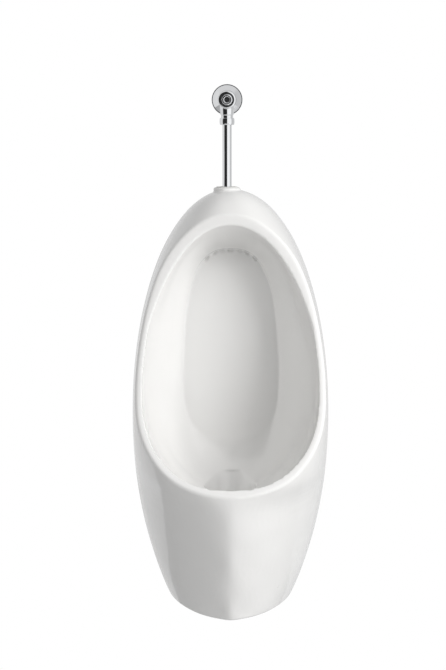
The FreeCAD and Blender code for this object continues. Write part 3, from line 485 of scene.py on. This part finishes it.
class Workshop:
    """Makes and shapes meshes with Blender's edit mode tools and modifiers."""

    @staticmethod
    def take(piece: bpy.types.Object) -> None:
        """Makes a piece the only one selected, and the active one."""
        bpy.ops.object.select_all(action="DESELECT")
        piece.select_set(True)
        bpy.context.view_layer.objects.active = piece

    @staticmethod
    def apply(piece: bpy.types.Object, kind: str, **settings: object) -> None:
        """Adds one modifier with its settings and applies it."""
        Workshop.take(piece)
        modifier = piece.modifiers.new(kind.lower(), kind)
        for name, setting in settings.items():
            setattr(modifier, name, setting)
        bpy.ops.object.modifier_apply(modifier=modifier.name)

    @staticmethod
    def merge(piece: bpy.types.Object) -> None:
        """Joins a piece's doubled corners and turns its faces outwards."""
        Workshop.take(piece)
        bpy.ops.object.mode_set(mode="EDIT")
        bpy.ops.mesh.select_all(action="SELECT")
        bpy.ops.mesh.remove_doubles(threshold=DOUBLED_MM * MM)
        bpy.ops.mesh.normals_make_consistent(inside=False)
        bpy.ops.object.mode_set(mode="OBJECT")

    @staticmethod
    def shade(piece: bpy.types.Object, crease: float) -> None:
        """Shades a piece smooth, apart from edges that turn by more than a crease in degrees."""
        Workshop.take(piece)
        bpy.ops.object.shade_smooth_by_angle(angle=math.radians(crease))

    @staticmethod
    def copy_of(node: str, name: str) -> bpy.types.Object:
        """Copies a node's mesh into a new piece and merges it.

        Args:
            node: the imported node.
            name: the new piece's name.

        Returns:
            The new piece, one closed skin for each solid.
        """
        piece = bpy.data.objects.new(name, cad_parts[node].data.copy())
        bpy.context.scene.collection.objects.link(piece)
        Workshop.take(piece)
        bpy.ops.mesh.customdata_custom_splitnormals_clear()
        Workshop.merge(piece)
        return piece

    @staticmethod
    def relax(piece: bpy.types.Object, grain_mm: float, rounds: int) -> None:
        """Gives a piece an even skin and lets it relax at its edges.

        Args:
            piece: the piece, merged.
            grain_mm: how wide one face of the skin is.
            rounds: how often the skin is relaxed.
        """
        Workshop.apply(piece, "REMESH", mode="VOXEL", voxel_size=grain_mm * MM)
        Workshop.apply(piece, "SMOOTH", factor=RELAX_PULL, iterations=rounds)

    @staticmethod
    def soften(piece: bpy.types.Object, width_mm: float) -> None:
        """Rounds a piece's sharp edges.

        Args:
            piece: the piece, merged.
            width_mm: how wide the rounding is.
        """
        Workshop.take(piece)
        bpy.ops.object.mode_set(mode="EDIT")
        bpy.ops.mesh.select_all(action="SELECT")
        bpy.ops.mesh.dissolve_limited(angle_limit=math.radians(FLAT_DEGREES))
        bpy.ops.object.mode_set(mode="OBJECT")
        bpy.ops.object.shade_smooth()
        Workshop.apply(
            piece,
            "BEVEL",
            width=width_mm * MM,
            segments=BEVEL_STEPS,
            limit_method="ANGLE",
            angle_limit=math.radians(EDGE_DEGREES),
            use_clamp_overlap=True,
            harden_normals=True,
        )

    @staticmethod
    def turned(name: str, outline: Outline, seat: Vector, facing: Facing, closed: bool) -> bpy.types.Object:
        """Turns an outline round an axis.

        Args:
            name: the piece's name.
            outline: its corners as radius and distance along the axis, in millimetres.
            seat: the point of the axis that distances are measured from, in metres.
            facing: where the axis points.
            closed: whether the outline closes on itself and leaves a hole. Otherwise both ends are flat
                faces.

        Returns:
            The new piece.
        """
        points = [(radius * MM, along * MM) for radius, along in outline]
        rings = points[1:] + points[:1] if closed else points[1:]
        bpy.ops.object.select_all(action="DESELECT")
        bpy.ops.mesh.primitive_circle_add(
            vertices=CIRCLE_SIDES,
            radius=points[0][0],
            fill_type="NOTHING" if closed else "NGON",
            location=(0.0, 0.0, points[0][1]),
        )
        piece = bpy.context.object
        piece.name = name
        bpy.ops.object.transform_apply(location=True, rotation=True, scale=True)
        bpy.ops.object.mode_set(mode="EDIT")
        bpy.ops.mesh.select_all(action="SELECT")
        radius, along = points[0]
        for next_radius, next_along in rings:
            rise = (0.0, 0.0, next_along - along)
            bpy.ops.mesh.extrude_region_move(TRANSFORM_OT_translate={"value": rise})
            share = next_radius / radius
            bpy.ops.transform.resize(value=(share, share, 1.0), center_override=(0.0, 0.0, next_along))
            radius, along = next_radius, next_along
        bpy.ops.object.mode_set(mode="OBJECT")
        piece.rotation_euler = (facing.value, 0.0, 0.0)
        piece.location = seat
        bpy.ops.object.transform_apply(location=True, rotation=True, scale=True)
        Workshop.merge(piece)
        Workshop.shade(piece, TURNED_CREASE)
        Workshop.apply(piece, "WEIGHTED_NORMAL", keep_sharp=True)
        return piece


# -------------------------------------------------------------- sub-assemblies


@dataclass
class SubAssembly:
    """Pieces that belong together, with the finishes that dress them."""

    finishes: Finishes

    def seat(
        self,
        piece: bpy.types.Object,
        nodes: tuple[str, ...],
        slot: Slot,
        body: Body = Body.URINAL,
    ) -> None:
        """Dresses a new piece and puts it in the place of its nodes.

        Args:
            piece: the new piece, in its place.
            nodes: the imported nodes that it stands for.
            slot: the material slot that it is finished from.
            body: the body that it rides on.
        """
        self.finishes.dress(piece, slot)
        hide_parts(*nodes)
        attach(piece, body.value)
        faces = len(piece.data.polygons)
        log.info("%s: %d faces, in %s, for %s", piece.name, faces, slot.value, ", ".join(nodes))

    def seat_softened(self, nodes: Iterable[str], kind: str, edge_mm: float, slot: Slot) -> None:
        """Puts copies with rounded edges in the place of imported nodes.

        Args:
            nodes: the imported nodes.
            kind: the word that the copies' names start with.
            edge_mm: how wide the rounding is.
            slot: the material slot that they are finished from.
        """
        for node in nodes:
            piece = Workshop.copy_of(node, f"{kind}_{node}")
            Workshop.soften(piece, edge_mm)
            self.seat(piece, (node,), slot)

    def keep(self, nodes: Iterable[str], slot: Slot) -> None:
        """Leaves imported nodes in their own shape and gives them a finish."""
        for node in nodes:
            self.finishes.dress(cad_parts[node], slot)
            log.info("%s: kept, in %s", node, slot.value)


@dataclass
class CeramicBowl(SubAssembly):
    """The bowl, one casting whose edges the glaze has rounded."""

    grain_mm: float = 1.7
    rounds: int = 5
    crease: float = 50.0
    face_limit: int = 190000

    def build(self) -> None:
        """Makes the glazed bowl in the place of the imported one."""
        bowl = Workshop.copy_of("ceramic_body", "glazed_bowl")
        self._round_edges(bowl)
        Workshop.shade(bowl, self.crease)
        self.seat(bowl, ("ceramic_body",), Slot.GLAZE)

    def _round_edges(self, bowl: bpy.types.Object) -> None:
        """Gives the bowl a relaxed skin of four sided faces and thins it to its limit of triangles."""
        Workshop.relax(bowl, self.grain_mm, self.rounds)
        triangles = 2 * len(bowl.data.polygons)
        if triangles > self.face_limit:
            Workshop.apply(bowl, "DECIMATE", ratio=self.face_limit / triangles, use_collapse_triangulate=True)


@dataclass
class FlushValve(SubAssembly):
    """The push button valve on the wall, with the nut that holds the flush pipe to it.

    Every size is in millimetres. An edge is how far a small rounding reaches. The pairs of flange_dome and
    nut_edge say how far in and how far along each point lies.
    """

    side: float = -6.0
    level: float = 310.0
    spout_depth: float = 48.0

    flange_radius: float = 27.0
    flange_lip: float = 1.6
    flange_lip_rise: float = 1.0
    flange_edge: float = 0.3
    flange_dome: tuple[Pair, ...] = ((1.9, 2.2), (3.9, 4.3), (6.1, 6.3), (8.2, 8.2))
    flange_wall: float = 1.1
    flange_rear_wall: float = 1.0
    hub_bore: float = 15.05
    hub_radius: float = 16.6
    hub_front: float = 10.0
    hub_edge: float = 0.4
    hub_depth: float = 2.6

    body_grain: float = 0.5
    body_rounds: int = 8
    body_crease: float = 40.0

    bonnet_radius: float = 15.6
    bonnet_rear: float = 62.0
    bonnet_front: float = 80.0
    bonnet_shoulder: float = 3.2
    bonnet_edge: float = 0.5
    bonnet_bore: float = 4.0
    skirt_radius: float = 11.9
    skirt_length: float = 6.0
    pocket_radius: float = 9.0
    pocket_floor: float = 68.0
    pocket_edge: float = 0.5

    button_radius: float = 8.8
    button_rear: float = 75.0
    button_front: float = 84.0
    button_rim: float = 1.3
    button_edge: float = 0.4
    dish_radius: float = 5.2
    dish_depth: float = 1.6
    dish_lip: float = 0.5
    dish_lip_reach: float = 0.9
    dish_lip_end_degrees: float = 160.0
    dish_draft: float = 0.1
    dish_corner: float = 0.3

    nut_radius: float = 12.6
    nut_top: float = 279.0
    nut_foot: float = 267.0
    nut_edge: tuple[Pair, ...] = ((1.6, 0.0), (0.7, 0.3), (0.2, 1.0))
    nut_belly: float = 12.9
    nut_belly_fall: float = 0.05
    nut_belly_reach: float = 2.4
    nut_bore: float = 8.2
    nut_floor: float = 2.5
    nut_thread_radius: float = 10.5

    def build(self) -> None:
        """Makes every piece of the valve."""
        self._wall_flange()
        self._body()
        self._bonnet()
        self._button()
        self._nut()
        self.keep(("bonnet_seal", "spindle_seal", "piston_washer", "pipe_top_seal"), Slot.RUBBER)
        self.keep(("spindle", "piston"), Slot.BRASS)
        self.keep(("closing_spring", "inlet_strainer"), Slot.STEEL)

    def _turned_on_axis(self, name: str, outline: Outline, closed: bool = True) -> bpy.types.Object:
        """Turns an outline round the valve's axis, its distances measured out from the wall."""
        seat = Vector((self.side * MM, 0.0, self.level * MM))
        return Workshop.turned(name, outline, seat, Facing.OUT_OF_WALL, closed)

    def _wall_flange(self) -> None:
        """Makes the pressed flange: a flat lip on the wall and a dome up to its hub."""
        rim = self.flange_radius - self.flange_lip
        lip = self.flange_lip_rise
        dome = [(rim - inwards, lip + along) for inwards, along in self.flange_dome]
        outside = [(self.flange_radius, 0.0), (self.flange_radius, lip - self.flange_edge)]
        outside += [(self.flange_radius - self.flange_edge, lip), (rim, lip), *dome]
        outside += [(self.hub_radius, self.hub_front - self.hub_edge)]
        outside += [(self.hub_radius - self.hub_edge, self.hub_front)]
        inside = [(self.hub_bore, self.hub_front), (self.hub_bore, self.hub_front - self.hub_depth)]
        inside += [(radius - self.flange_wall, along - self.flange_wall) for radius, along in reversed(dome)]
        inside += [(rim - self.flange_rear_wall, 0.0)]
        piece = self._turned_on_axis("domed_flange", outside + inside)
        self.seat(piece, ("wall_flange",), Slot.CHROME)

    def _body(self) -> None:
        """Makes the cast body, its barrel flowing into the spout."""
        piece = Workshop.copy_of("valve_body", "cast_body")
        Workshop.relax(piece, self.body_grain, self.body_rounds)
        Workshop.shade(piece, self.body_crease)
        self.seat(piece, ("valve_body",), Slot.CHROME)

    def _bonnet(self) -> None:
        """Makes the round bonnet with its skirt and its deep pocket for the button."""
        shoulder, edge = self.bonnet_shoulder, self.pocket_edge
        skirt_rear = self.bonnet_rear - self.skirt_length
        shoulder_at = (self.bonnet_radius - shoulder, self.bonnet_front - shoulder)
        edge_at = (self.pocket_radius + edge, self.bonnet_front - edge)
        outline = [(self.bonnet_bore, skirt_rear), (self.skirt_radius, skirt_rear)]
        outline += [(self.skirt_radius, self.bonnet_rear)]
        outline += [(self.bonnet_radius - self.bonnet_edge, self.bonnet_rear)]
        outline += [(self.bonnet_radius, self.bonnet_rear + self.bonnet_edge)]
        outline += arc(shoulder_at, shoulder, OUTWARDS, FORWARDS, SHOULDER_STEPS)
        outline += arc(edge_at, edge, FORWARDS, INWARDS, EDGE_STEPS)
        outline += [(self.pocket_radius, self.pocket_floor), (self.bonnet_bore, self.pocket_floor)]
        piece = self._turned_on_axis("round_bonnet", outline)
        self.seat(piece, ("valve_bonnet",), Slot.CHROME)

    def _button(self) -> None:
        """Makes the push button: a rounded ring, a steep inner wall and a flat sunk floor for a finger."""
        rim, lip = self.button_rim, self.dish_lip
        floor = self.button_front - self.dish_depth
        rim_at = (self.button_radius - rim, self.button_front - rim)
        lip_at = (self.dish_radius + self.dish_lip_reach, self.button_front - lip)
        outline = [(self.button_radius - self.button_edge, self.button_rear)]
        outline += [(self.button_radius, self.button_rear + self.button_edge)]
        outline += arc(rim_at, rim, OUTWARDS, FORWARDS, RIM_STEPS)
        outline += arc(lip_at, lip, FORWARDS, self.dish_lip_end_degrees, EDGE_STEPS)
        outline += [(self.dish_radius + self.dish_draft, floor + self.dish_corner)]
        outline += [(self.dish_radius - self.dish_corner, floor)]
        piece = self._turned_on_axis("push_cap", outline, closed=False)
        self.seat(piece, ("push_button",), Slot.CHROME, Body.BUTTON)

    def _nut(self) -> None:
        """Makes the smooth nut under the spout, with a swelling belly between two rims."""
        seat = Vector((self.side * MM, -self.spout_depth * MM, 0.0))
        middle = (self.nut_top + self.nut_foot) / 2
        beside = self.nut_belly - self.nut_belly_fall
        floor = self.nut_foot + self.nut_floor
        foot_edge = [(self.nut_radius - inwards, self.nut_foot + along) for inwards, along in self.nut_edge]
        top_edge = [(self.nut_radius - inwards, self.nut_top - along) for inwards, along in self.nut_edge]
        outline = [(self.nut_bore, self.nut_foot), *foot_edge]
        outline += [(beside, middle - self.nut_belly_reach), (self.nut_belly, middle)]
        outline += [(beside, middle + self.nut_belly_reach), *reversed(top_edge)]
        outline += [(self.nut_thread_radius, self.nut_top), (self.nut_thread_radius, floor)]
        outline += [(self.nut_bore, floor)]
        piece = Workshop.turned("pipe_nut", outline, seat, Facing.UP, closed=True)
        self.seat(piece, ("coupling_nut",), Slot.CHROME)


@dataclass
class FlushLine(SubAssembly):
    """The bare pipe from the valve down to the bowl, and the seal round its foot."""

    def build(self) -> None:
        """Finishes the pipe and its seal."""
        self.keep(("flush_pipe",), Slot.CHROME)
        self.keep(("inlet_seal",), Slot.WHITE_RUBBER)


@dataclass
class WasteFitting(SubAssembly):
    """The fitting under the sump: its grid, screw, seals and nut."""

    def build(self) -> None:
        """Finishes the waste fitting."""
        self.keep(("waste_body",), Slot.CHROME)
        self.keep(("waste_grid", "grid_screw"), Slot.STEEL)
        self.keep(("waste_upper_seal", "waste_lower_seal"), Slot.RUBBER)
        self.keep(("backnut",), Slot.BRASS)


@dataclass
class BottleTrap(SubAssembly):
    """The white bottle trap in the foot, and its outlet to the wall."""

    edge_mm: float = 0.5

    def build(self) -> None:
        """Rounds the trap's moulded edges and finishes it."""
        mouldings = ("trap_nut", "trap_head", "trap_cup", "outlet_pipe", "outlet_nut", "wall_collar")
        self.seat_softened(mouldings, "moulded", self.edge_mm, Slot.WHITE_PLASTIC)
        self.keep(("trap_neck_seal", "cup_seal", "outlet_seal"), Slot.RUBBER)


@dataclass
class WallFixings(SubAssembly):
    """The hooks, screws, washers and plugs that hold the bowl to the wall."""

    edge_mm: float = 0.4

    def build(self) -> None:
        """Rounds the hooks' sheet edges and finishes the fixings."""
        self.seat_softened(("hook_left", "hook_right"), "plated", self.edge_mm, Slot.ZINC)
        self.keep(("wall_screws",), Slot.ZINC)
        self.keep(("screw_washers",), Slot.WHITE_PLASTIC)
        self.keep(("wall_plugs",), Slot.GREY_PLASTIC)


# --------------------------------------------------------------------- studio


@dataclass(frozen=True)
class SoftBox:
    """A square area light that looks at the urinal. It lights the pieces but isn't mirrored in their gloss.

    Its azimuth is measured to the right from straight in front of the wall. Angles are in degrees, the
    distance and size in metres and the power in watts.
    """

    name: str
    azimuth: float
    elevation: float
    distance: float
    size: float
    power: float

    def hang(self, aim: Vector) -> None:
        """Hangs the light, looking at a point."""
        around, up = math.radians(self.azimuth), math.radians(self.elevation)
        away = Vector((math.sin(around) * math.cos(up), -math.cos(around) * math.cos(up), math.sin(up)))
        lamp = bpy.data.lights.new(self.name, "AREA")
        lamp.size = self.size
        lamp.energy = self.power
        light = bpy.data.objects.new(self.name, lamp)
        light.visible_glossy = False
        light.location = aim + away * self.distance
        light.rotation_euler = away.to_track_quat("Z", "Y").to_euler()
        bpy.context.scene.collection.objects.link(light)


@dataclass(frozen=True)
class PictureCamera:
    """The camera that was matched to the photograph. The focal length and the middles are in its pixels."""

    picture_height: float = 670.0
    picture_middle: float = 223.0
    matched_middle: float = 230.5
    focal_length: float = 1659.4
    sensor_mm: float = 36.0
    depth: float = 2.934
    level: float = 0.310
    fall_degrees: float = 8.07

    def place(self) -> None:
        """Stands the camera in front of the wall, looking a little down."""
        lens = bpy.data.cameras.new("camera")
        lens.sensor_fit = "AUTO"
        lens.sensor_width = self.sensor_mm
        lens.lens = self.sensor_mm * self.focal_length / self.picture_height
        lens.shift_x = -(self.matched_middle - self.picture_middle) / self.picture_height
        camera = bpy.data.objects.new("camera", lens)
        camera.location = (0.0, -self.depth, self.level)
        camera.rotation_euler = (math.radians(90.0 - self.fall_degrees), 0.0, 0.0)
        bpy.context.scene.collection.objects.link(camera)
        bpy.context.scene.camera = camera


@dataclass
class Studio:
    """A plain white studio: a pale floor, soft lights, even surroundings and the camera.

    The screens are pairs of direction and brightness. Directions are in degrees, 0 in front of the wall and
    growing to the right. The ceiling starts and is full at two heights, as the sine of the angle looked up.
    """

    aim: Vector
    floor_level: float = -0.97
    floor_half_width: float = 2.0
    floor_front: float = -3.2
    floor_back: float = 0.6
    floor_cloud_mm: float = 400.0
    floor_pale: Colour = (0.80, 0.80, 0.80)
    floor_dull: Colour = (0.77, 0.77, 0.77)
    floor_roughness: Pair = (0.6, 0.7)
    backdrop: Colour = (1.0, 1.0, 1.0)
    even_light: float = 0.36
    glow: float = 1.2
    ceiling: Pair = (0.62, 0.80)
    ceiling_brightness: float = 0.62
    screens: tuple[Pair, ...] = (
        (-180, 0.60),
        (-144, 0.60),
        (-79, 0.68),
        (-65, 0.02),
        (1, 0.02),
        (6, 0.85),
        (70, 0.90),
        (78, 0.50),
        (180, 0.60),
    )
    lights: tuple[SoftBox, ...] = (
        SoftBox("key_light", azimuth=52.0, elevation=20.0, distance=3.0, size=1.6, power=71.0),
        SoftBox("fill_light", azimuth=-20.0, elevation=40.0, distance=3.0, size=1.5, power=10.0),
    )

    def build(self) -> None:
        """Sets up everything round the urinal."""
        self._floor()
        self._surroundings()
        for light in self.lights:
            light.hang(self.aim)
        PictureCamera().place()
        bpy.context.scene.view_settings.view_transform = "Standard"
        log.info("studio: floor at %.2f m, %d soft lights, camera", self.floor_level, len(self.lights))

    def _floor(self) -> None:
        """Lays the pale floor."""
        bpy.ops.object.select_all(action="DESELECT")
        middle = (self.floor_front + self.floor_back) / 2
        bpy.ops.mesh.primitive_plane_add(size=1.0, location=(0.0, middle, self.floor_level))
        floor = bpy.context.object
        floor.name = "studio_floor"
        floor.scale = (2 * self.floor_half_width, self.floor_back - self.floor_front, 1.0)
        bpy.ops.object.transform_apply(location=True, rotation=True, scale=True)
        sheet = MaterialSheet("pale_floor")
        clouds = sheet.noise(self.floor_cloud_mm, Detail.THREE)
        floor.data.materials.append(
            sheet.finish(
                Base_Color=sheet.tint(clouds, self.floor_pale, self.floor_dull),
                Roughness=sheet.between(clouds, *self.floor_roughness),
            )
        )

    def _surroundings(self) -> None:
        """Makes the surroundings.

        The camera sees a white backdrop, matt surfaces get an even light, and gloss mirrors bright and dark
        screens and a ceiling.
        """
        world = bpy.data.worlds.new("studio_surroundings")
        world.use_nodes = True
        bpy.context.scene.world = world
        sheet = Sheet(world.node_tree)
        towards = sheet.node("ShaderNodeTexCoord", output="Generated")
        across, inwards, upwards = [
            sheet.node("ShaderNodeSeparateXYZ", values={0: towards}, output=axis) for axis in "XYZ"
        ]
        around = sheet.node("ShaderNodeMath", {"operation": "ARCTAN2"}, {0: across, 1: 0.0 - inwards})
        shown = self._screens(sheet, around)
        steep = sheet.node("ShaderNodeMath", {"operation": "ABSOLUTE"}, {0: upwards})
        stops = list(zip(self.ceiling, (0.0, 1.0)))
        overhead = sheet.node("ShaderNodeValToRGB", {"stops": stops}, {0: steep})
        mirrored = shown * (1.0 - overhead) + overhead * self.ceiling_brightness
        camera_ray = sheet.node("ShaderNodeLightPath", output="Is Camera Ray")
        gloss_ray = sheet.node("ShaderNodeLightPath", output="Is Glossy Ray")
        even = (1.0 - camera_ray) * (1.0 - gloss_ray) * self.even_light
        background = world.node_tree.nodes["Background"]
        sheet.feed(background.inputs["Color"], self.backdrop)
        sheet.feed(background.inputs["Strength"], camera_ray + gloss_ray * mirrored * self.glow + even)

    def _screens(self, sheet: Sheet, around: Wire) -> Wire:
        """Stands bright and dark screens round the urinal.

        Args:
            sheet: the world's node sheet.
            around: the direction in radians, 0 in front of the wall and growing to the right.

        Returns:
            How bright each direction is.
        """
        stops = [((degrees + 180) / 360, grey) for degrees, grey in self.screens]
        return sheet.node("ShaderNodeValToRGB", {"stops": stops}, {0: around * (0.5 / math.pi) + 0.5})


def main() -> None:
    """Builds the urinal and its studio."""
    logging.basicConfig(level=logging.INFO, format="%(name)s: %(message)s")
    finishes = Finishes()
    for assembly in (CeramicBowl, FlushValve, FlushLine, WasteFitting, BottleTrap, WallFixings):
        log.info("building %s", assembly.__name__)
        assembly(finishes).build()
    low, high = CAD_BOX
    Studio(aim=(Vector(low) + Vector(high)) / 2).build()


if __name__ == "__main__":
    main()
